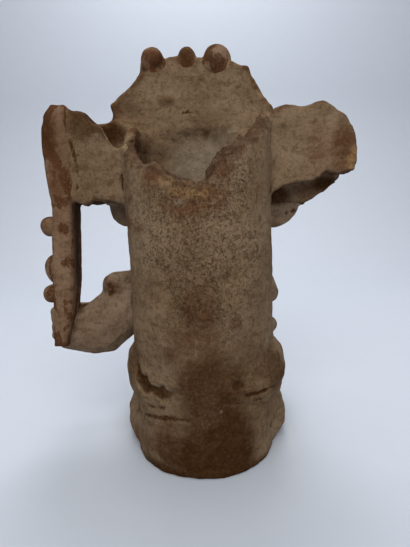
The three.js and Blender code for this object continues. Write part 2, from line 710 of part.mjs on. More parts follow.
function browBead(degrees, grow) {
  return bead(onBrow(degrees, BAND_THICKNESS), BAND_BEAD_RADIUS, grow);
}

function tier(grow) {
  const shape = new THREE.Shape();
  shape.absellipse(0, FRONT + WALL, TIER_HALF_WIDTH, TIER_REACH + WALL, Math.PI, 2 * Math.PI, false);
  const arc = outline(shape.getPoints(ARC_STEPS).map((p) => [p.x, p.y]));
  return block(arc, TIER_FOOT, RIM_HEIGHT - SEAM, TIER_ROUND, grow);
}

function medallion(grow) {
  const rim = MEDALLION_RADIUS + grow;
  const face = -MEDALLION_THICKNESS - grow;
  const [back, floor] = [TIER_REACH / 4, face + MEDALLION_DISH];
  const inner = rim - MEDALLION_RIM;
  return turned([
    [0, back], [rim, back], [rim, floor], [rim - MEDALLION_DISH, face],
    [inner, face], [inner - MEDALLION_DISH, floor], [0, floor],
  ], [0, FRONT - TIER_REACH, TIER_LEVEL]);
}

function medallionBoss(grow) {
  const face = FRONT - TIER_REACH - MEDALLION_THICKNESS + MEDALLION_DISH;
  return bead([0, face, TIER_LEVEL], MEDALLION_BOSS_RADIUS, grow);
}

// Ear spools

function spoolPlace(side, radius, depth) {
  return [side * (VESSEL_RADIUS + radius - SPOOL_BITE), -SPOOL_SETBACK - depth, SPOOL_LEVEL];
}

function spool(side, radius, grow) {
  const rim = radius + grow;
  const neck = rim - SPOOL_FLARE;
  const inner = rim - SPOOL_RIM;
  const face = -SPOOL_LENGTH - grow;
  const floor = face + SPOOL_HOLLOW;
  return turned([
    [0, grow], [neck, grow], [neck, face / 2], [rim, floor], [rim, face],
    [inner, face], [inner - SPOOL_FLARE, floor], [0, floor],
  ], spoolPlace(side, radius, 0));
}

function spoolBoss(side, radius, grow) {
  return bead(spoolPlace(side, radius, SPOOL_LENGTH - SPOOL_HOLLOW), SPOOL_BOSS_RADIUS, grow);
}

// Arms and hands

const shoulder = [TORSO_HALF_WIDTH - SHOULDER_INSET, FRONT - SHOULDER_REACH, SHOULDER_LEVEL, SHOULDER_RADIUS];

// From the shoulder round the vessel's side to an elbow
function upperArmStations(elbow) {
  const level = SHOULDER_LEVEL - UPPER_ARM_DROP;
  const middle = [VESSEL_RADIUS - UPPER_ARM_TUCK, FRONT + SHOULDER_RADIUS, level, SHOULDER_RADIUS];
  return [shoulder, middle, elbow];
}

const leftElbow = [VESSEL_RADIUS + LEFT_ELBOW_REACH, -ARM_SETBACK, LEFT_ELBOW_LEVEL, LEFT_ELBOW_RADIUS];
const rightElbow = [VESSEL_RADIUS, -ARM_SETBACK, RIGHT_ELBOW_LEVEL, RIGHT_ELBOW_RADIUS];

function leftForearmStations() {
  return LEFT_FOREARM.map(([reach, setback, drop, ...size]) => {
    return [VESSEL_RADIUS + reach, -setback, LEFT_ELBOW_LEVEL - drop, ...size];
  });
}

const joined = (solids) => solids.reduce((whole, one) => whole.add(one));

// Even row of fingers about a middle place
function fingers(finger) {
  const middle = (FINGER_COUNT - 1) / 2;
  return Array.from({ length: FINGER_COUNT }, (_, i) => finger(FINGER_PITCH * (i - middle)));
}

// Fingers closed round the staff, from its front to its outer side
function leftHand(grow) {
  const front = WING_BACK - STAFF_DEPTH - FINGER_RADIUS;
  return joined(fingers((shift) => {
    const rise = GRIP_LEVEL + shift;
    const level = WING_LEVEL + rise;
    const outside = staffOuter(rise) + FINGER_RADIUS;
    return roll([
      [staffInner(rise) - FINGER_ROOT, front - KNUCKLE, level, FINGER_RADIUS],
      [(staffInner(rise) + outside) / 2, front - KNUCKLE / 4, level, FINGER_RADIUS],
      [outside - KNUCKLE / 2, front + FINGER_RADIUS, level, FINGER_RADIUS],
      [outside, STAFF_MIDDLE, level, FINGER_RADIUS],
    ], grow, COIL);
  }));
}

const rightWrist = [
  RIGHT_WRIST_INSET - KNEE_OFFSET,
  FRONT - KNEE_REACH + RIGHT_WRIST_INSET,
  onSeat(KNEE_RADIUS * 2) + RIGHT_ELBOW_RADIUS,
];

function rightForearmStations() {
  const thick = RIGHT_ELBOW_RADIUS;
  const x = RIGHT_WRIST_INSET - VESSEL_RADIUS;
  return [
    [x, -ARM_SETBACK - thick, RIGHT_ELBOW_LEVEL - thick, thick * 0.9],
    [x + RIGHT_WRIST_INSET, FRONT + thick / 2, (RIGHT_ELBOW_LEVEL + rightWrist[2] - thick / 2) / 2, thick],
    [...rightWrist, RIGHT_WRIST_RADIUS],
  ];
}

// Open hand laid over the right knee
function rightHand(grow) {
  const [x, y, z] = rightWrist;
  const palm = roll(PALM.map(([past, drop, ...size]) => [x, y - past, z - drop, ...size]), grow, COIL);
  const finger = (shift) => {
    const stations = FLAT_FINGER.map(([past, drop, half]) => [x + shift, y - past, z - drop, half]);
    return roll(stations, grow, COIL, SIDEWAYS);
  };
  return joined([palm, ...fingers(finger)]);
}

// Assembly, in the order in which the pieces are luted on

add("vessel_floor", vesselFloor(), dusky);
add("vessel_wall", vesselWall(), buff);
hosts.push(vesselRoom(SEAM));

lute("plinth", plinth, buff);
lute("left_thigh", (grow) => roll(thighStations(LEFT_THIGH_SWELL), grow), buff);
lute("right_thigh", (grow) => roll(mirrored(thighStations(RIGHT_THIGH_SWELL)), grow), buff);
lute("left_shin", (grow) => roll(shinStations(LEFT_SHIN_REACH), grow), buff);
lute("right_shin", (grow) => roll(mirrored(shinStations(RIGHT_SHIN_REACH)), grow), buff);
lute("left_foot", (grow) => roll(footStations(LEFT_SHIN_REACH), grow), buff);
lute("right_foot", (grow) => roll(mirrored(footStations(RIGHT_SHIN_REACH)), grow), buff);
lute("torso", torso, buff);
lute("belt", (grow) => roll(beltStations(), grow, COIL), buff);
lute("loincloth", (grow) => roll(loinclothStations(), grow, COIL, SIDEWAYS), buff);

lute("left_wing_back", leftWingBack, buff);
lute("left_wing_front", leftWingFront, dusky);
lute("right_wing_back", rightWingBack, buff);
lute("right_wing_front", rightWingFront, dusky);
lute("right_wing_end", rightWingEnd, ruddy);
lute("staff", staff, ruddy);
STAFF_BOSSES.forEach((boss, i) => lute(`staff_boss_${i + 1}`, (grow) => staffBoss(boss, grow), ruddy));

lute("headdress_panel", panel, buff);
CREST_KNOBS.forEach((knob) => lute(`crest_knob_${knob[0]}`, (grow) => crestKnob(knob, grow), ruddy));

lute("head", head, buff);
lute("nose", nose, buff);
lute("left_eye", (grow) => eye(EYE_OFFSET, grow), buff);
lute("right_eye", (grow) => eye(-EYE_OFFSET, grow), buff);
lute("upper_lip", (grow) => lip(UPPER_LIP, grow), buff);
lute("lower_lip", (grow) => lip(LOWER_LIP, grow), buff);
lute("brow_band", (grow) => roll(browBandStations(), grow, COIL), buff);
fan(BAND_BEADS, BAND_BEAD_TURN).forEach((turn, i) => {
  lute(`brow_bead_${i + 1}`, (grow) => browBead(turn, grow), ruddy);
});
lute("headdress_tier", tier, buff);
lute("medallion", medallion, buff);
lute("medallion_boss", medallionBoss, ruddy);

lute("left_ear_spool", (grow) => spool(1, LEFT_SPOOL_RADIUS, grow), dusky);
lute("right_ear_spool", (grow) => spool(-1, RIGHT_SPOOL_RADIUS, grow), dusky);
lute("left_spool_boss", (grow) => spoolBoss(1, LEFT_SPOOL_RADIUS, grow), ruddy);
lute("right_spool_boss", (grow) => spoolBoss(-1, RIGHT_SPOOL_RADIUS, grow), ruddy);

lute("collar", (grow) => roll(collarStations(), grow, COIL), buff);
fan(COLLAR_BEADS, COLLAR_BEAD_TURN).forEach((turn, i) => {
  lute(`collar_bead_${i + 1}`, (grow) => collarBead(turn, grow), ruddy);
});

lute("left_upper_arm", (grow) => roll(upperArmStations(leftElbow), grow), buff);
lute("left_forearm", (grow) => roll(leftForearmStations(), grow), buff);
lute("left_hand", leftHand, buff);
lute("right_upper_arm", (grow) => roll(mirrored(upperArmStations(rightElbow)), grow), buff);
lute("right_forearm", (grow) => roll(rightForearmStations(), grow), buff);
lute("right_hand", rightHand, buff);

export default urn;
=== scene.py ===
"""Looks of the terracotta effigy urn.

Each clay piece is grown from its solid on a grid, luted to the pieces before it, and weathered.
"""
import json
import math

import bpy
import numpy as np
import openvdb
from mathutils import Matrix, Vector


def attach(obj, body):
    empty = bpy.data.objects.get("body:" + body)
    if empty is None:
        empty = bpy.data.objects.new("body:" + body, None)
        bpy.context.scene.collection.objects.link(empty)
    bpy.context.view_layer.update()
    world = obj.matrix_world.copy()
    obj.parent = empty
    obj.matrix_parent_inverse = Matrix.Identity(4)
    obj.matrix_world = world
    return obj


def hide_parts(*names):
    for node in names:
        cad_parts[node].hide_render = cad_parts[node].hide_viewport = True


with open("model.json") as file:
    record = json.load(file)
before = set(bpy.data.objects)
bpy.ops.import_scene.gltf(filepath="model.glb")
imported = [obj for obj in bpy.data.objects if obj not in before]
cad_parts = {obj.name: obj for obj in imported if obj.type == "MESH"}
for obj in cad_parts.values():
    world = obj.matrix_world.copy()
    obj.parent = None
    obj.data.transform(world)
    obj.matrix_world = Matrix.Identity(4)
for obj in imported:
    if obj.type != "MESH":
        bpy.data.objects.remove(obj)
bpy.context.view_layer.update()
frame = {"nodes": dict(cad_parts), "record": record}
SLOTS = {part["node"]: part["material_slot"] for part in frame["record"]["subparts"]}

# Lengths are in millimetres, in the part's own frame. Those of the materials and the stage are in
# metres. A pair of values for smoothstep says where something starts and where it is full.
MM = 0.001
STEP = 1.0  # grid of the larger pieces and of the whole object
FINE = 0.5  # grid of the smaller pieces
PAD = 8  # room round a piece on its grid
BAND = 10.0  # how far from a surface distances are known
EMBED = 1.2  # how deep a piece reaches into the pieces before it
FEATHER = 0.02  # how much lower each turn's surface lies, so that its thin rim goes under
SKIN = 0.4  # clay added all over
UNDERSIDE = 0.05  # lowest clay over the floor

# Clay pieces in the order in which they are luted on: grid, fillet to the pieces before, softening
ORDER = [
    (("vessel_wall",), STEP, 0.0, 0.0),
    (("vessel_floor",), STEP, 4.0, 0.0),
    (("plinth",), STEP, 8.0, 2.5),
    (("left_thigh", "right_thigh"), STEP, 2.5, 1.7),
    (("left_shin", "right_shin", "torso"), STEP, 3.0, 2.2),
    (("left_foot", "right_foot", "belt", "loincloth"), FINE, 2.0, 1.3),
    (("left_wing_back", "left_wing_front", "right_wing_back", "right_wing_front",
      "right_wing_end"), STEP, 4.0, 0.8),
    (("staff",), STEP, 4.5, 0.4),
    (("staff_boss_1", "staff_boss_2", "staff_boss_3"), FINE, 1.6, 1.3),
    (("headdress_panel",), STEP, 13.0, 1.3),
    (("crest_knob_left", "crest_knob_centre", "crest_knob_right"), FINE, 1.8, 1.4),
    (("head",), FINE, 2.5, 0.9),
    (("nose",), FINE, 1.8, 0.7),
    (("left_eye", "right_eye", "upper_lip", "lower_lip"), FINE, 0.6, 0.3),
    (("brow_band",), FINE, 1.6, 0.9),
    (tuple(f"brow_bead_{i}" for i in range(1, 6)), FINE, 1.2, 0.8),
    (("headdress_tier",), STEP, 7.0, 1.5),
    (("medallion", "medallion_boss"), FINE, 1.4, 0.7),
    (("left_ear_spool", "right_ear_spool", "left_spool_boss", "right_spool_boss"), FINE, 2.6, 0.9),
    (("collar",), FINE, 1.6, 0.9),
    (tuple(f"collar_bead_{i}" for i in range(1, 6)), FINE, 1.2, 0.8),
    (("left_upper_arm", "left_forearm"), STEP, 3.0, 1.2),
    (("left_hand",), FINE, 2.5, 1.8),
    (("right_upper_arm", "right_forearm"), STEP, 4.0, 2.2),
    (("right_hand",), FINE, 1.6, 0.9),
]
# Softening takes clay off rounded forms, so they first grow by this times its squared width
SWELL = 0.06
# Pieces that the photograph shows a little fuller than their solids
FULLER = {
    "crest_knob_right": 1.2,
    "staff": 0.9,
    "left_forearm": 1.4,
    "left_thigh": 0.4,
    "right_thigh": 0.7,
    "left_ear_spool": 1.4,
    "right_ear_spool": 1.0,
}
# Pieces with less uneven surfaces
CALM = {"staff": 0.35}


def smooth_noise(shape, cell, seed):
    """Random field with unit spread and bumps about one cell wide, given in grid steps."""
    rng = np.random.default_rng(seed)
    field = rng.standard_normal([int(n / cell) + 5 for n in shape]).astype(np.float32)
    for axis, count in enumerate(shape):
        at = np.arange(count) / cell + 1
        first = np.floor(at).astype(int)
        t = (at - first).astype(np.float32)
        weights = ((1 - t) ** 3, 3 * t**3 - 6 * t**2 + 4, -3 * t**3 + 3 * t**2 + 3 * t + 1, t**3)
        side = [1, 1, 1]
        side[axis] = count
        field = sum(
            (w / 6).reshape(side) * np.take(field, first - 1 + i, axis)
            for i, w in enumerate(weights)
        )
    return field / field.std()


def smoothstep(edge0, edge1, x):
    t = np.clip((x - edge0) / (edge1 - edge0), 0, 1)
    return t * t * (3 - 2 * t)


def smooth_min(a, b, width):
    if width <= 0:
        return np.minimum(a, b)
    near = np.maximum(width - np.abs(a - b), 0) / width
    return np.minimum(a, b) - near * near * width / 4


def soften(field, width):
    """Blur with a bell curve, its width in grid steps."""
    if width <= 0:
        return field
    reach = math.ceil(3 * width)
    bell = np.exp(-0.5 * (np.arange(-reach, reach + 1) / width) ** 2).astype(np.float32)
    bell /= bell.sum()
    for axis in range(3):
        count = field.shape[axis]
        margin = [(reach, reach) if other == axis else (0, 0) for other in range(3)]
        wide = np.pad(field, margin, mode="edge")
        field = sum(w * np.take(wide, range(i, i + count), axis) for i, w in enumerate(bell))
    return field


def cad_mesh(name):
    """Points and triangles of a node's solid."""
    mesh = frame["nodes"][name].data
    points = np.empty(len(mesh.vertices) * 3, np.float32)
    mesh.vertices.foreach_get("co", points)
    mesh.calc_loop_triangles()
    corners = np.empty(len(mesh.loop_triangles) * 3, np.int32)
    mesh.loop_triangles.foreach_get("vertices", corners)
    return points.reshape(-1, 3) / MM, corners.reshape(-1, 3).astype(np.uint32)


SOLIDS = {name: cad_mesh(name) for name in SLOTS}
low = np.floor(np.min([points.min(0) for points, _ in SOLIDS.values()], 0)).astype(int) - PAD
high = np.ceil(np.max([points.max(0) for points, _ in SOLIDS.values()], 0)).astype(int) + PAD
SHAPE = tuple(high - low + 1)


def box_of(points, step, fillet):
    """Lowest place and shape of a piece's own grid, on whole millimetres, with room to fillet."""
    room = PAD + math.ceil(fillet)
    start = np.maximum(np.floor(points.min(0)).astype(int) - room, low)
    end = np.minimum(np.ceil(points.max(0)).astype(int) + room, high)
    return start, tuple((end - start) * round(1 / step) + 1)


def distance(points, corners, step, start, shape):
    """Signed distance to a solid, less than nothing inside."""
    grid = openvdb.FloatGrid.createLevelSetFromPolygons(
        points.astype(np.float32),
        triangles=corners,
        transform=openvdb.createLinearTransform(voxelSize=step),
        halfWidth=BAND / step,
    )
    field = np.empty(shape, np.float32)
    grid.copyToArray(field, ijk=tuple(int(v) for v in np.round(start / step)))
    return field


def cut(field, start, shape, step):
    """A piece's part of a whole-object field, with midpoints where the piece's grid is finer."""
    ratio = round(1 / step)
    first = start - low
    last = first + (np.array(shape) - 1) // ratio + 1
    part = field[first[0] : last[0], first[1] : last[1], first[2] : last[2]]
    if ratio == 1:
        return part
    for axis in range(3):
        count = part.shape[axis]
        grown = np.repeat(part, 2, axis)
        part = np.take(grown, range(2 * count - 1), axis)
        odd = [slice(None)] * 3
        odd[axis] = slice(1, None, 2)
        a = np.take(grown, range(1, 2 * count - 1, 2), axis)
        b = np.take(grown, range(2, 2 * count, 2), axis)
        part[tuple(odd)] = (a + b) / 2
    return part


def heights(start, shape, step):
    return start[2] + step * np.arange(shape[2], dtype=np.float32)


def largest_part(points, quads):
    """Drops the crumbs that weathering leaves beside a piece."""
    root = np.arange(len(points))
    pairs = np.concatenate([quads[:, [0, 1]], quads[:, [1, 2]], quads[:, [2, 3]]])
    while True:
        before = root.copy()
        lowest = np.minimum(root[pairs[:, 0]], root[pairs[:, 1]])
        np.minimum.at(root, pairs[:, 0], lowest)
        np.minimum.at(root, pairs[:, 1], lowest)
        root = root[root[root]]
        if (root == before).all():
            break
    keep = root == np.bincount(root).argmax()
    new = np.cumsum(keep) - 1
    return points[keep], new[quads[keep[quads[:, 0]]]]


# Weathering over the whole object

# Unevenness of hand-worked clay: width of its bumps, seed, height
BROAD = (17.0, 11, 0.34)
MIDDLE = (5.5, 12, 0.22)
GRAIN = (2.4, 13, 0.09)

axes = [np.arange(n, dtype=np.float32) + start for n, start in zip(SHAPE, low)]
X, Y, Z = np.meshgrid(*axes, indexing="ij", sparse=True)
broad, middle, grain = (smooth_noise(SHAPE, *bumps[:2]) for bumps in (BROAD, MIDDLE, GRAIN))
wear = (BROAD[2] * broad + MIDDLE[2] * middle + GRAIN[2] * grain - SKIN).astype(np.float32)
scarred = np.zeros(SHAPE, np.float32)

LID = ((7.5, -88, 177.4), (10.5, -88.6, 176.3), (14.5, -88, 176.2), (18, -86, 177.2))
# Cracks, creases and spalls, and the lines of lids and mouth: depth, half width, course
SCARS = [
    (3.0, 5.4, ((47, 24, 69), (43, 31, 66), (39, 36, 61), (33, 40, 57), (27, 43, 57),
                (22, 45, 58))),
    (1.1, 1.5, ((37, 33, 45), (33, 38, 46), (27.5, 41.5, 47.5))),
    (0.55, 1.4, ((50, 10, 30), (47, 16, 32), (38, 33, 38), (30, 40, 40), (22, 45, 42),
                 (10, 49, 42))),
    (1.0, 1.8, ((-50, 22, 46), (-46, 28, 48), (-37, 37, 50.5), (-28, 41, 50), (-19, 46, 51),
                (-11, 49, 54))),
    (2.0, 2.8, ((-20, 46, 62), (-27, 43.5, 62.5))),
    (1.3, 1.8, ((-13, 48.5, 56), (-22, 45.5, 57), (-32, 41.6, 55.8), (-44, 34.4, 56),
                (-50.6, 23, 54))),
    (1.5, 1.1, ((50.5, 8.5, 199), (50.2, 8.5, 181))),
    (0.5, 1.3, ((14, -41, 247), (6, -42, 249), (-4, -42, 247))),
    (0.4, 1.2, ((10, -41, 241), (-2, -42, 240))),
    (0.4, 1.2, ((22, -39, 238), (8, -42, 236))),
    (1.1, 1.7, ((67, -5.5, 122.5), (68, -6, 121))),
    (1.0, 1.6, ((66.5, -6, 116), (68, -6.5, 115))),
    (0.9, 1.5, ((57.5, -5, 110), (58, -5, 108.5))),
    (0.8, 1.5, ((57.5, -5, 104.5), (58, -5, 103))),
    (0.9, 1.4, ((38, -32, 277), (31, -32, 277), (25, -35, 279))),
    (1.3, 1.4, ((-65, -19, 169.5), (-65.5, -19, 170))),
    (1.2, 1.3, ((-69.5, -19, 171), (-70, -19, 171.5))),
    (0.6, 1.6, ((84, 8, 222), (81, 8, 205), (82, 8, 192))),
    (0.7, 2.0, ((-64, 8, 222), (-66, 8, 219))),
    (0.9, 1.0, LID),
    (0.9, 1.0, tuple((-x, y, z) for x, y, z in LID)),
    (1.0, 1.0, ((-9, -77.5, 155.8), (-4, -80, 155), (4, -80, 155), (9, -77.5, 155.8))),
]
SCAR_ROOM = 2  # reach of a scar, in half widths
SCAR_SIDES = (1.1, 0.35)  # in half widths
SCAR_RAGGED_MIDDLE = 0.32
SCAR_RAGGED_GRAIN = 0.2


def course_distance(course, x, y, z):
    """Distance to a course of straight runs."""
    nearest = np.inf
    for start, end in zip(course, course[1:]):
        run = [b - a for a, b in zip(start, end)]
        offset = [axis - a for axis, a in zip((x, y, z), start)]
        t = sum(o * r for o, r in zip(offset, run)) / sum(r * r for r in run)
        t = np.clip(t, 0, 1)
        nearest = np.minimum(nearest, sum((o - t * r) ** 2 for o, r in zip(offset, run)))
    return np.sqrt(nearest)


for depth, half, course in SCARS:
    first = np.floor(np.min(course, 0) - SCAR_ROOM * half).astype(int) - low
    last = np.ceil(np.max(course, 0) + SCAR_ROOM * half).astype(int) - low
    region = tuple(slice(a, b) for a, b in zip(first, last))
    away = course_distance(course, X[region[0]], Y[:, region[1]], Z[:, :, region[2]])
    away = away / half + SCAR_RAGGED_MIDDLE * middle[region] + SCAR_RAGGED_GRAIN * grain[region]
    mark = smoothstep(*SCAR_SIDES, away)
    wear[region] += depth * mark
    scarred[region] = np.maximum(scarred[region], mark)

# Torn edges: scoops about scattered points, like chips out of fired clay
CHIP = 5.5  # distance between chips
CHIP_DEPTH = 2.1
CHIP_REACH = 0.85  # in distances between chips
CHIP_SEED = 21
LEAST_TORN = 0.01
chip_cells = [int(n / CHIP) + 5 for n in SHAPE]
chip_points = np.random.default_rng(CHIP_SEED).random(chip_cells + [3]).astype(np.float32)


def chips(start, shape, step):
    """How much is chipped away: scoops about scattered points."""
    cells, shares = [], []
    for axis in range(3):
        at = (start[axis] - low[axis] + step * np.arange(shape[axis])) / CHIP + 1
        cells.append(np.floor(at).astype(int))
        shares.append((at - cells[-1]).astype(np.float32))
    nearest = np.full(shape, np.inf, np.float32)
    for shift in np.ndindex(3, 3, 3):
        points = chip_points[np.ix_(*(c + s - 1 for c, s in zip(cells, shift)))]
        gap = 0
        for axis in range(3):
            side = [1, 1, 1]
            side[axis] = -1
            gap = gap + (points[..., axis] + shift[axis] - 1 - shares[axis].reshape(side)) ** 2
        nearest = np.minimum(nearest, gap)
    return CHIP_DEPTH * (CHIP_REACH - np.sqrt(nearest))


def chipped(piece, torn, start, step):
    """The piece with its torn places chipped; chips are worked out only round those."""
    found = np.nonzero(torn > LEAST_TORN)
    region = tuple(slice(at.min(), at.max() + 1) for at in found)
    corner = start + step * np.array([part.start for part in region])
    piece[region] += torn[region] * chips(corner, piece[region].shape, step)
    return piece


RIM_LOWEST = 150  # the broken mouth is over this height
RIM_WIDTH = 0.1  # points of the rim are this close to the wall's outside
WALL_INSIDE = (38, 41.5)  # tearing by the distance from the vessel's axis
WALL_OUTSIDE = (53.5, 50.5)
MOUTH_EDGE = (-3.5, -0.5)  # tearing by the height over the rim
PANEL_FOOT = (236, 231)  # tearing by the rim's height, none where the headdress panel covers it


def torn_mouth(points):
    """How torn the vessel is: fully along its broken mouth, not elsewhere."""
    radius = np.hypot(points[:, 0], points[:, 1])
    rim = points[(radius > radius.max() - RIM_WIDTH) & (points[:, 2] > RIM_LOWEST)]
    turn = np.degrees(np.arctan2(rim[:, 0], rim[:, 1]))
    order = np.argsort(turn)
    around = np.degrees(np.arctan2(X, Y))
    level = np.interp(around, turn[order], rim[order, 2], period=360).astype(np.float32)
    wall = smoothstep(*WALL_INSIDE, np.hypot(X, Y)) * smoothstep(*WALL_OUTSIDE, np.hypot(X, Y))
    return wall * smoothstep(*MOUTH_EDGE, Z - level) * smoothstep(*PANEL_FOOT, level)


# Wing slabs: how torn their edges are under and over a height
TORN_SLABS = {
    "left_wing_back": (1.1, 0.9),
    "left_wing_front": (0.9, 0.15),
    "right_wing_back": (1.7, 0.2),
    "right_wing_front": (2.2, 0.15),
    "right_wing_end": (1.2, 0.15),
}
TORN_HEIGHT = 204.0
TORN_BLEND = 4
SLAB_EDGE = (-2.6, -0.2)  # tearing by the distance over the slab's outline
VESSEL_CLEAR = (54, 60)  # tearing by the distance to the side, none at the vessel
STAFF_CLEAR = (86, 82)  # none at the staff


def torn_slab(name, own, start, step):
    """How torn a wing slab is: along its outline, through its thickness, off vessel and staff."""
    place = [start[axis] + step * np.arange(own.shape[axis]) for axis in range(3)]
    outline = own[:, int(np.argmin(own.min((0, 2)))), :][:, None, :]
    under, over = TORN_SLABS[name]
    raised = smoothstep(TORN_HEIGHT - TORN_BLEND, TORN_HEIGHT + TORN_BLEND, place[2])
    strength = under + (over - under) * raised
    clear = smoothstep(*VESSEL_CLEAR, np.abs(place[0])) * smoothstep(*STAFF_CLEAR, place[0])
    mask = smoothstep(*SLAB_EDGE, outline) * strength * clear[:, None, None]
    return np.broadcast_to(mask, own.shape).astype(np.float32)


def torn_edges(name, points, own, start, shape, step):
    if name == "vessel_wall":
        return cut(torn_mouth(points), start, shape, step)
    if name in TORN_SLABS:
        return torn_slab(name, own, start, step)
    return None


# Stains as balls of colour, by mask: ochre crust, rust, dark earth with painted shade, pale scuff
# with painted light
OCHRE, RUST, EARTH_AND_SHADE, SCUFF_AND_LIGHT = range(4)
# For each ball: strength, place, half sizes
STAINS = {
    OCHRE: [
        (1.0, (20, 46, 195), (8, 9, 6)),
        (1.0, (11, 49, 189), (10, 9, 6)),
        (0.9, (2, 50, 186), (9, 9, 5)),
        (1.0, (-107, 8, 204), (6, 9, 11)),
    ],
    RUST: [
        (1.0, (28, 41, 197), (12, 10, 13)),
        (0.9, (8, 49, 178), (20, 10, 14)),
        (0.9, (-6, 50, 182), (14, 10, 12)),
        (0.9, (-14, 48, 200), (10, 10, 11)),
        (0.8, (-21, 43, 211), (11, 10, 8)),
        (0.75, (1, 50, 110), (14, 9, 22)),
        (0.8, (4, 50, 96), (20, 9, 14)),
        (0.5, (-80, 8, 213), (14, 8, 32)),
        (0.85, (-99, 8, 212), (14, 8, 28)),
        (0.7, (97, 8, 228), (8, 10, 24)),
        (0.7, (96, 8, 200), (6, 10, 18)),
        (0.75, (-88, -16, 187), (22, 5, 10)),
        (1.0, (31, -32, 285), (11, 12, 10)),
        (1.0, (6.5, -40, 289), (10, 10, 10)),
        (0.5, (-11, -38, 289), (5, 8, 6)),
        (0.9, (67, -5.5, 119), (6, 7, 7)),
    ],
    EARTH_AND_SHADE: [
        (0.5, (-30, 33, 218), (11, 10, 6)),
        (0.55, (-41, 23, 227), (9, 12, 5)),
        # Painted shade: inside the wall under the broken mouth, in the left wing's hollow, under
        # the right wing's back slab and on the staff's inner side
        (0.8, (42, 0, 221), (6, 15, 6)),
        (0.95, (62, -13, 231), (12, 5, 9)),
        (0.2, (-80, -13, 187), (28, 5, 9)),
        (0.95, (-92, -15, 190), (12, 6, 7)),
        (0.95, (-58, -13, 184), (10, 10, 8)),
        (1.0, (88.5, -3, 146), (3.6, 10, 52)),
        (0.4, (-97, 8, 226), (9, 8, 20)),
        (0.36, (0, 50, 116), (44, 20, 56)),
        (0.5, (-28, 43, 78), (28, 20, 40)),
        (0.75, (98, 8, 228), (7, 10, 16)),
        (0.55, (7, -40, 289), (10, 10, 9)),
        # The back of the vessel, darker towards its foot
        (0.32, (-6, 40, 58), (62, 32, 84)),
        (0.85, (-3, 50, 58), (36, 18, 56)),
        (1.0, (-9, 48, 14), (38, 22, 40)),
        (0.32, (-34, 37, 106), (18, 16, 46)),
        (1.0, (0, 46, 0), (56, 36, 10)),
        (0.6, (-38, 36, 68), (10, 10, 8)),
        (0.65, (-47, 27, 65), (16, 19, 19)),
        (0.6, (49, 15, 66), (12, 20, 20)),
        (0.7, (-24, 44, 59), (14, 8, 6)),
        (0.75, (76, 8, 234), (13, 9, 16)),
        (0.3, (70, 8, 208), (26, 10, 36)),
        (0.3, (0, -41, 238), (44, 16, 10)),
        (0.25, (-64, 8, 222), (20, 9, 18)),
        (0.3, (50, -25, 250), (13, 11, 17)),
        (0.55, (64, -5, 119), (11, 11, 10)),
    ],
    SCUFF_AND_LIGHT: [
        (0.7, (-2, -42, 233), (4, 4, 1.5)),
        (0.8, (-26, -33, 232), (4, 4, 2)),
        # Pale grey deposit inside the mouth, with painted light where light falls into it
        (0.95, (-4, -42, 210), (36, 14, 24)),
        (0.6, (11.5, 49, 180.5), (5, 4, 3)),
        (0.8, (29.5, 40.5, 203), (1.8, 4, 1.8)),
        (0.15, (-17, -37, 289), (9, 9, 8)),
        (1.0, (4.5, 50, 86.7), (1.0, 3, 1.0)),
        (0.7, (-10.2, 49, 48), (0.8, 3, 0.8)),
    ],
}
STAIN_EDGE = (1.25, 0.3)  # in half sizes
STAIN_RAGGED_MIDDLE = 0.05
STAIN_RAGGED_BROAD = 0.14
# Where the vessel is most pitted: place, half sizes
PITTED = ((-4, 50, 158), (56, 32, 70))
PITTED_EDGE = (1.2, 0.6)  # in half sizes
# Darkening by the share of clay round a place, darker and redder on outer edges and painted shade
# in hollows: mask, strength, shares
EDGE_DARKENING = ((RUST, 0.7, (0.4, 0.25)), (EARTH_AND_SHADE, 0.4, (0.36, 0.22)))
HOLLOW_SHADE = ((EARTH_AND_SHADE, 0.9, (0.6, 0.78)),)
SMALL_EDGE_DARKENING = 0.4  # the share of it that the smaller pieces have
# Darker along the cracks, creases, spalls and the lines of lids and mouth
SCAR_DARKENING = 0.95
CROWD_STEP = 2
CROWD_BLUR = 1.5  # in its grid steps
CROWD_RAGGED = 0.025


def crowding(whole):
    """Share of clay round each place, on a coarse grid: half on a flat face, more in a hollow."""
    coarse = whole[::CROWD_STEP, ::CROWD_STEP, ::CROWD_STEP]
    return soften(np.clip(0.5 - coarse / 2, 0, 1), CROWD_BLUR)


def sampled(field, at):
    """A field between its grid points."""
    first = np.clip(np.floor(at).astype(int), 0, np.array(field.shape) - 2)
    share = np.clip(at - first, 0, 1)
    total = 0
    for shift in np.ndindex(2, 2, 2):
        weight = np.prod(np.where(shift, share, 1 - share), axis=1)
        total = total + weight * field[tuple((first + shift).T)]
    return total


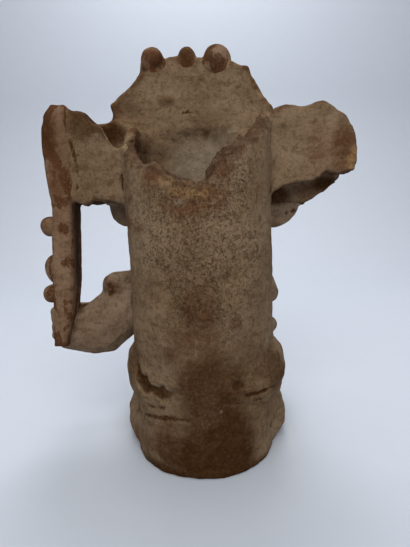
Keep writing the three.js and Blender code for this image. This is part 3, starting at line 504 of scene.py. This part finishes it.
def paint(mesh, points, torn, start, step, crowd):
    """Stain masks with painted shade and light, pitting and fractures at each point, as attributes.
    """
    masks = np.zeros((len(points), len(STAINS)), np.float32)
    index = tuple((np.clip(np.round(points).astype(int) - low, 0, np.array(SHAPE) - 1)).T)
    ragged = STAIN_RAGGED_MIDDLE * middle[index] + STAIN_RAGGED_BROAD * broad[index]

    def deepen(mask, amount):
        masks[:, mask] = np.maximum(masks[:, mask], amount)

    for mask, balls in STAINS.items():
        for strength, place, half in balls:
            away = np.linalg.norm((points - place) / half, axis=1) + ragged
            deepen(mask, strength * smoothstep(*STAIN_EDGE, away))
    around = sampled(crowd, (points - low) / CROWD_STEP) + CROWD_RAGGED * middle[index]
    edge_darkness = 1.0 if step == STEP else SMALL_EDGE_DARKENING
    # Darker and redder on outer edges
    for mask, strength, shares in EDGE_DARKENING:
        deepen(mask, strength * edge_darkness * smoothstep(*shares, around))
    # Painted shade in hollows
    for mask, strength, shares in HOLLOW_SHADE:
        deepen(mask, strength * smoothstep(*shares, around))
    deepen(EARTH_AND_SHADE, SCAR_DARKENING * scarred[index])
    layer = mesh.attributes.new("stains", "FLOAT_COLOR", "POINT")
    layer.data.foreach_set("color", masks.ravel())
    away = np.linalg.norm((points - PITTED[0]) / PITTED[1], axis=1) + ragged
    pitted = mesh.attributes.new("pitted", "FLOAT", "POINT")
    pitted.data.foreach_set("value", smoothstep(*PITTED_EDGE, away).astype(np.float32))
    fracture = mesh.attributes.new("fracture", "FLOAT", "POINT")
    if torn is not None:
        own = np.clip(np.round((points - start) / step).astype(int), 0, np.array(torn.shape) - 1)
        fracture.data.foreach_set("value", np.ascontiguousarray(torn[tuple(own.T)]))


def mesh_of(name, field, start, step):
    """Mesh of a field's surface, and its points in millimetres."""
    grid = openvdb.FloatGrid(BAND)
    grid.transform = openvdb.createLinearTransform(voxelSize=step)
    corner = tuple(int(v) for v in np.round(start / step))
    grid.copyFromArray(np.ascontiguousarray(field), ijk=corner)
    points, _, quads = grid.convertToPolygons(0.0, 0.0)
    points, quads = largest_part(points, quads)
    mesh = bpy.data.meshes.new(name)
    mesh.vertices.add(len(points))
    mesh.vertices.foreach_set("co", (points * MM).ravel())
    mesh.loops.add(quads.size)
    mesh.loops.foreach_set("vertex_index", quads[:, ::-1].ravel().astype(np.int32))
    mesh.polygons.add(len(quads))
    mesh.polygons.foreach_set("loop_start", np.arange(0, quads.size, 4, dtype=np.int32))
    mesh.polygons.foreach_set("use_smooth", np.ones(len(quads), bool))
    mesh.update(calc_edges=True)
    return mesh, points


# Clay materials


class Tree:
    """Short way to write a material's nodes."""

    def __init__(self, name):
        self.material = bpy.data.materials.new(name)
        self.material.use_nodes = True
        self.tree = self.material.node_tree
        self.shader = self.tree.nodes["Principled BSDF"]

    def node(self, kind, inputs=None, **settings):
        node = self.tree.nodes.new(kind)
        for key, value in settings.items():
            setattr(node, key, value)
        for key, value in (inputs or {}).items():
            self.put(node.inputs[key], value)
        return node

    def put(self, socket, value):
        if isinstance(value, bpy.types.NodeSocket):
            self.tree.links.new(value, socket)
        else:
            socket.default_value = value

    def place(self):
        return self.node("ShaderNodeTexCoord").outputs["Object"]

    def attribute(self, name):
        return self.node("ShaderNodeAttribute", attribute_name=name).outputs["Fac"]

    def noise(self, at, scale, detail, rough, distortion):
        settings = {"Scale": scale, "Detail": detail, "Roughness": rough, "Distortion": distortion}
        return self.node("ShaderNodeTexNoise", {"Vector": at, **settings}).outputs["Fac"]

    def stretched(self, at, factors):
        inputs = {0: at, 1: factors}
        return self.node("ShaderNodeVectorMath", inputs, operation="MULTIPLY").outputs[0]

    def ramp(self, value, start, end, at_start=0.0, at_end=1.0):
        inputs = {"Value": value, 1: start, 2: end, 3: at_start, 4: at_end}
        node = self.node("ShaderNodeMapRange", inputs, interpolation_type="SMOOTHSTEP")
        return node.outputs["Result"]

    def math(self, how, a, b):
        return self.node("ShaderNodeMath", {0: a, 1: b}, operation=how).outputs[0]

    def times(self, a, b):
        return self.math("MULTIPLY", a, b)

    def mix(self, share, a, b):
        node = self.node("ShaderNodeMix", {0: share, 6: a, 7: b}, data_type="RGBA")
        return node.outputs[2]


def colour(red, green, blue):
    return (red, green, blue, 1.0)


# Noises: stretch, scale, detail, roughness, distortion
NOISES = {
    "cloud": (None, 20.0, 3.0, 0.55, 0.4),
    "streak": ((0.45, 0.45, 1.5), 130.0, 4.0, 0.6, 0.5),
    "blotch": (None, 300.0, 3.0, 0.6, 0.5),
    "speck": (None, 760.0, 3.0, 0.65, 0.0),
    "broken": (None, 150.0, 5.0, 0.65, 0.8),
    "flakes": ((1.0, 1.0, 0.6), 85.0, 5.0, 0.6, 0.4),
    "uneven": (None, 420.0, 5.0, 0.75, 0.0),
    "holes": ((1.0, 1.0, 0.8), 440.0, 5.0, 0.75, 0.8),
    "hole fields": (None, 60.0, 3.0, 0.55, 0.0),
    "hairlines": (None, 290.0, 3.0, 0.6, 1.4),
    "hairline breaks": (None, 380.0, 2.0, 0.55, 0.0),
    "fibre": (None, 40.0, 3.0, 0.55, 0.0),
}
# Ramps: value at the start and at the end, result at each
RAMPS = {
    "cloud": (0.34, 0.66, 0.0, 1.0),
    "deep streak": (0.48, 0.72, 0.0, 0.5),
    "pale streak": (0.47, 0.3, 0.0, 0.45),
    "deep blotch": (0.48, 0.68, 0.0, 0.5),
    "pale blotch": (0.46, 0.32, 0.0, 0.4),
    "deep speck": (0.48, 0.64, 0.0, 1.0),
    "pale speck": (0.45, 0.33, 0.0, 0.4),
    "flakes": (0.49, 0.535, 0.0, 1.0),
    "slip": (0.3, 0.6, 0.6, 0.95),
    "fracture": (0.3, 0.7, 0.55, 0.95),
    "holes": (0.55, 0.66, 0.0, 1.0),
    "hole fields": (0.35, 0.6, 0.3, 1.0),
    "hairlines": (0.006, 0.03, 1.0, 0.0),
    "hairline breaks": (0.46, 0.58, 0.0, 1.0),
    "roughness": (0.2, 0.8, 0.84, 1.0),
}
# Stains and painted shade and light, each over the one before: tint, its thinnest and thickest
# share by the uneven noise, and the ramp by which the broken noise parts it into patches
STAIN_LOOKS = {
    "rust": (colour(0.105, 0.042, 0.019), (0.5, 1.0), (0.36, 0.52, 0.45, 1.0)),
    "undertone": (colour(0.078, 0.036, 0.014), (0.8, 0.95), None),
    "earth_and_shade": (colour(0.04, 0.0155, 0.004), (0.6, 1.0), (0.34, 0.6, 0.65, 1.0)),
    "ochre": (colour(0.31, 0.18, 0.072), (0.2, 1.0), (0.6, 0.44, 0.05, 1.0)),
    "scuff_and_light": (colour(0.3, 0.25, 0.19), (0.3, 0.8), (0.3, 0.6, 0.8, 1.0)),
}
STAIN_UNEVEN = (0.34, 0.6)
FRACTURE_TINT = colour(0.062, 0.033, 0.018)
# Pits and hairlines are darker by this tint and share
PIT_TINT = colour(0.05, 0.029, 0.014)
PIT_SHARE = 0.7
SMOOTH_GRIT = 0.55  # share of the grit where the clay isn't pitted
BUMP_STRENGTH = 0.85
BUMP_DISTANCE = 0.0011
SPECK_BUMP, BLOTCH_BUMP, BROKEN_BUMP, PIT_DENT = 0.6, 0.45, 0.6, 0.5
CLAY_SHEEN = 0.04


def clay(name, pale, body, deep, grit, pits, slip=None):
    """Matt unglazed clay: mottled body, worn slip, stains with painted shade and light, bare
    fractures, pits and hairlines.
    """
    t = Tree(name)
    at = t.place()

    def noise(key):
        stretch, *settings = NOISES[key]
        return t.noise(t.stretched(at, stretch) if stretch else at, *settings)

    def ramp(key, value):
        return t.ramp(value, *RAMPS[key])

    streak, blotch, speck = noise("streak"), noise("blotch"), noise("speck")
    broken, uneven = noise("broken"), noise("uneven")
    pitted = t.attribute("pitted")
    base = t.mix(ramp("cloud", noise("cloud")), body, pale)
    base = t.mix(ramp("deep streak", streak), base, deep)
    base = t.mix(ramp("pale streak", streak), base, pale)
    base = t.mix(ramp("deep blotch", blotch), base, deep)
    base = t.mix(ramp("pale blotch", blotch), base, pale)
    gritty = t.ramp(pitted, 0.0, 1.0, SMOOTH_GRIT * grit, grit)
    base = t.mix(t.times(ramp("deep speck", speck), gritty), base, deep)
    base = t.mix(ramp("pale speck", speck), base, pale)
    if slip:
        flakes = ramp("flakes", noise("flakes"))
        base = t.mix(t.times(flakes, ramp("slip", speck)), base, slip)

    stains = t.node("ShaderNodeVertexColor", layer_name="stains")
    split = t.node("ShaderNodeSeparateColor", {"Color": stains.outputs["Color"]})
    # Blue holds dark earth stains with painted shade; alpha holds pale scuffs with painted light
    earth_and_shade = split.outputs["Blue"]
    masks = {
        "rust": split.outputs["Green"],
        "undertone": t.times(earth_and_shade, earth_and_shade),
        "earth_and_shade": earth_and_shade,
        "ochre": split.outputs["Red"],
        "scuff_and_light": stains.outputs["Alpha"],
    }
    for key, (tint, shares, patches) in STAIN_LOOKS.items():
        share = t.times(masks[key], t.ramp(uneven, *STAIN_UNEVEN, *shares))
        if patches:
            share = t.times(share, t.ramp(broken, *patches))
        base = t.mix(share, base, tint)
    bare = t.times(t.attribute("fracture"), ramp("fracture", blotch))
    base = t.mix(bare, base, FRACTURE_TINT)

    fields = t.times(t.math("MAXIMUM", pitted, pits), ramp("hole fields", noise("hole fields")))
    holes = t.times(ramp("holes", noise("holes")), fields)
    off_line = t.math("ABSOLUTE", t.math("SUBTRACT", noise("hairlines"), 0.5), 0.0)
    stretches = t.times(pitted, ramp("hairline breaks", noise("hairline breaks")))
    hairlines = t.times(ramp("hairlines", off_line), stretches)
    holes_and_hairlines = t.math("MAXIMUM", holes, hairlines)
    base = t.mix(t.times(holes_and_hairlines, PIT_SHARE), base, PIT_TINT)
    t.put(t.shader.inputs["Base Color"], base)

    height = t.times(speck, SPECK_BUMP)
    height = t.math("ADD", height, t.times(blotch, BLOTCH_BUMP))
    height = t.math("ADD", height, t.times(broken, BROKEN_BUMP))
    height = t.math("SUBTRACT", height, t.times(holes_and_hairlines, PIT_DENT))
    settings = {"Strength": BUMP_STRENGTH, "Distance": BUMP_DISTANCE, "Height": height}
    bump = t.node("ShaderNodeBump", settings)
    t.put(t.shader.inputs["Normal"], bump.outputs["Normal"])
    t.put(t.shader.inputs["Roughness"], ramp("roughness", streak))
    t.shader.inputs["Specular IOR Level"].default_value = CLAY_SHEEN
    return t.material


CLAYS = {
    "weathered_clay": clay(
        "weathered clay",
        pale=colour(0.25, 0.172, 0.105),
        body=colour(0.19, 0.122, 0.068),
        deep=colour(0.08, 0.045, 0.02),
        grit=0.6,
        pits=0.07,
    ),
    "figure_clay": clay(
        "figure clay",
        pale=colour(0.25, 0.175, 0.117),
        body=colour(0.187, 0.123, 0.078),
        deep=colour(0.085, 0.048, 0.024),
        grit=0.42,
        pits=0.08,
    ),
    "ruddy_clay": clay(
        "ruddy clay",
        pale=colour(0.225, 0.142, 0.087),
        body=colour(0.172, 0.1, 0.057),
        deep=colour(0.095, 0.047, 0.022),
        grit=0.42,
        pits=0.08,
        slip=colour(0.075, 0.028, 0.01),
    ),
}

# Luting and weathering

SPREAD = 0.01  # how far clay may spread past a fillet
FLAKE_EDGE = 1.6  # width of the edges that flake
FLAKE_MIDDLE = 0.5
FLAKE_GRAIN = 0.35
FLAKE_FOOT = (4, 10)  # flaking by height, so that the foot stays whole
MOUTH_FRONT = (2, -16)  # smoothing of the mouth by the place to the front, and by height
MOUTH_TOP = (205, 220)
MOUTH_BLUR = 2.6


def luted(name, own, hosts, fillet, soft, step):
    """A piece and the pieces before it as one soft form, kept to the piece's own surroundings."""
    grown = own - SWELL * soft**2 - FULLER.get(name, 0.0)
    joined = soften(smooth_min(grown, hosts, fillet), soft / step)
    return np.maximum(joined, grown - max(fillet, 2 * soft) - SPREAD)


def flaked(whole, start, shape, step):
    """What has flaked off outer edges, here and there."""
    edge = np.clip(soften(whole, FLAKE_EDGE / step) - whole, 0, 1)
    flake = FLAKE_MIDDLE * cut(middle, start, shape, step)
    flake = flake + FLAKE_GRAIN * cut(grain, start, shape, step)
    return edge * np.clip(flake, 0, 1) * smoothstep(*FLAKE_FOOT, heights(start, shape, step))


def smoothed_mouth(own, start, shape):
    """The vessel's mouth, smoothed over under the headdress panel and sharp where it is broken."""
    place = [start[axis] + np.arange(shape[axis], dtype=np.float32) for axis in range(3)]
    front = smoothstep(*MOUTH_FRONT, place[1])[None, :, None]
    share = front * smoothstep(*MOUTH_TOP, place[2])[None, None, :]
    return own + share * (soften(own, MOUTH_BLUR) - own)


surfaces = []
clay_so_far = np.full(SHAPE, BAND, np.float32)
for turn, (names, step, fillet, soft) in enumerate(ORDER):
    for name in names:
        points, corners = SOLIDS[name]
        start, shape = box_of(points, step, fillet)
        own = distance(points, corners, step, start, shape)
        if name == "vessel_wall":
            own = smoothed_mouth(own, start, shape)
        hosts = cut(clay_so_far, start, shape, step)
        eaten = cut(wear, start, shape, step)
        torn = torn_edges(name, points, own, start, shape, step)
        whole = luted(name, own, hosts, fillet, soft, step)
        worn = whole + CALM.get(name, 1.0) * eaten
        if step == STEP:
            worn = worn + flaked(whole, start, shape, step)
        piece = np.maximum(worn + turn * FEATHER, -(hosts + eaten + EMBED))
        if torn is not None:
            piece = chipped(piece, torn, start, step)
        piece = np.maximum(piece, UNDERSIDE - heights(start, shape, step)).astype(np.float32)
        mesh, surface = mesh_of(name + "_clay", piece, start, step)
        surfaces.append((mesh, surface, torn, start, step))
        mesh.materials.append(CLAYS[SLOTS[name]])
        clay_piece = bpy.data.objects.new(name + "_clay", mesh)
        bpy.context.scene.collection.objects.link(clay_piece)
        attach(clay_piece, "root")
        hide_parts(name)
        if step != STEP:
            start, shape = box_of(points, STEP, fillet)
            own = distance(points, corners, STEP, start, shape)
            hosts = cut(clay_so_far, start, shape, STEP)
            whole = luted(name, own, hosts, fillet, soft, STEP)
        region = tuple(slice(a, a + n) for a, n in zip(start - low, shape))
        clay_so_far[region] = np.minimum(clay_so_far[region], whole)
crowd = crowding(clay_so_far)
for surface in surfaces:
    paint(*surface, crowd)

# Stage: a pale sheet that sweeps up behind the urn, soft light, and the photograph's camera

SHEET_TINTS = (colour(0.52, 0.555, 0.62), colour(0.54, 0.575, 0.64))
SHEET_ROUGHNESS = 0.9
SHEET_SHEEN = 0.1
# Name, place, target, size, power, tint
LAMPS = [
    ("key", (0.0, 1.2, 1.2), (0.0, 0.0, 0.15), 1.5, 20.0, (1.0, 0.99, 0.97)),
    ("overhead", (0.0, 0.1, 1.6), (0.0, 0.0, 0.1), 0.7, 5.0, (0.98, 0.99, 1.0)),
    ("backdrop", (0.0, -0.4, 1.5), (0.0, -1.05, 0.3), 0.8, 3.5, (0.97, 0.98, 1.0)),
    ("fill", (0.0, -0.75, 1.25), (0.0, 0.0, 0.15), 0.8, 9.0, (1.0, 1.0, 1.0)),
]
ROOM_TINT = colour(0.92, 0.96, 1.0)
ROOM_STRENGTH = 0.17
EYE = (-2.7, 294.0, 181.0)  # in millimetres
TILT = 10.0
ROLL = -1.77
FOCAL_PIXELS = 413.0
PHOTO_HEIGHT = 547.0  # in pixels
SENSOR = 36.0
CLIP_START = 0.01


def sweep():
    """Floor that curves up into a wall."""
    width, front, turn_at, radius, height, steps = 10.0, 10.0, -0.55, 0.5, 2.0, 24
    profile = [(front, 0.0), (turn_at, 0.0)]
    for i in range(1, steps + 1):
        angle = math.radians(90 * i / steps)
        profile.append((turn_at - radius * math.sin(angle), radius * (1 - math.cos(angle))))
    profile.append((turn_at - radius, height))
    verts = [(side * width, y, z) for y, z in profile for side in (-1, 1)]
    faces = [(2 * i, 2 * i + 1, 2 * i + 3, 2 * i + 2) for i in range(len(profile) - 1)]
    mesh = bpy.data.meshes.new("sheet")
    mesh.from_pydata(verts, [], faces)
    for polygon in mesh.polygons:
        polygon.use_smooth = True
    t = Tree("pale sheet")
    fibre = t.noise(t.place(), *NOISES["fibre"][1:])
    t.put(t.shader.inputs["Base Color"], t.mix(fibre, *SHEET_TINTS))
    t.shader.inputs["Roughness"].default_value = SHEET_ROUGHNESS
    t.shader.inputs["Specular IOR Level"].default_value = SHEET_SHEEN
    mesh.materials.append(t.material)
    sheet = bpy.data.objects.new("sheet", mesh)
    bpy.context.scene.collection.objects.link(sheet)


def lamp(name, place, target, size, power, tint):
    light = bpy.data.lights.new(name, "AREA")
    light.shape = "DISK"
    light.size = size
    light.energy = power
    light.color = tint
    lamp_object = bpy.data.objects.new(name, light)
    lamp_object.location = place
    aim = Vector(target) - Vector(place)
    lamp_object.rotation_euler = aim.to_track_quat("-Z", "Y").to_euler()
    bpy.context.scene.collection.objects.link(lamp_object)


def room():
    """Faint cool light from all sides."""
    world = bpy.data.worlds.new("room")
    world.use_nodes = True
    background = world.node_tree.nodes["Background"]
    background.inputs["Color"].default_value = ROOM_TINT
    background.inputs["Strength"].default_value = ROOM_STRENGTH
    bpy.context.scene.world = world


def camera():
    """Eye and tilt of the photograph: from behind the figure, ten degrees down, rolled a little."""
    tilt, roll = math.radians(TILT), math.radians(ROLL)
    level = Vector((-1, 0, 0))
    rise = Vector((0, -math.sin(tilt), math.cos(tilt)))
    right = level * math.cos(roll) + rise * math.sin(roll)
    up = rise * math.cos(roll) - level * math.sin(roll)
    data = bpy.data.cameras.new("camera")
    data.sensor_width = SENSOR
    data.lens = SENSOR * FOCAL_PIXELS / PHOTO_HEIGHT
    data.clip_start = CLIP_START
    eye = bpy.data.objects.new("camera", data)
    turn = Matrix((right, up, right.cross(up))).transposed().to_4x4()
    eye.matrix_world = Matrix.Translation(Vector(EYE) * MM) @ turn
    bpy.context.scene.collection.objects.link(eye)
    bpy.context.scene.camera = eye


sweep()
for settings in LAMPS:
    lamp(*settings)
room()
camera()
bpy.context.scene.view_settings.view_transform = "Standard"
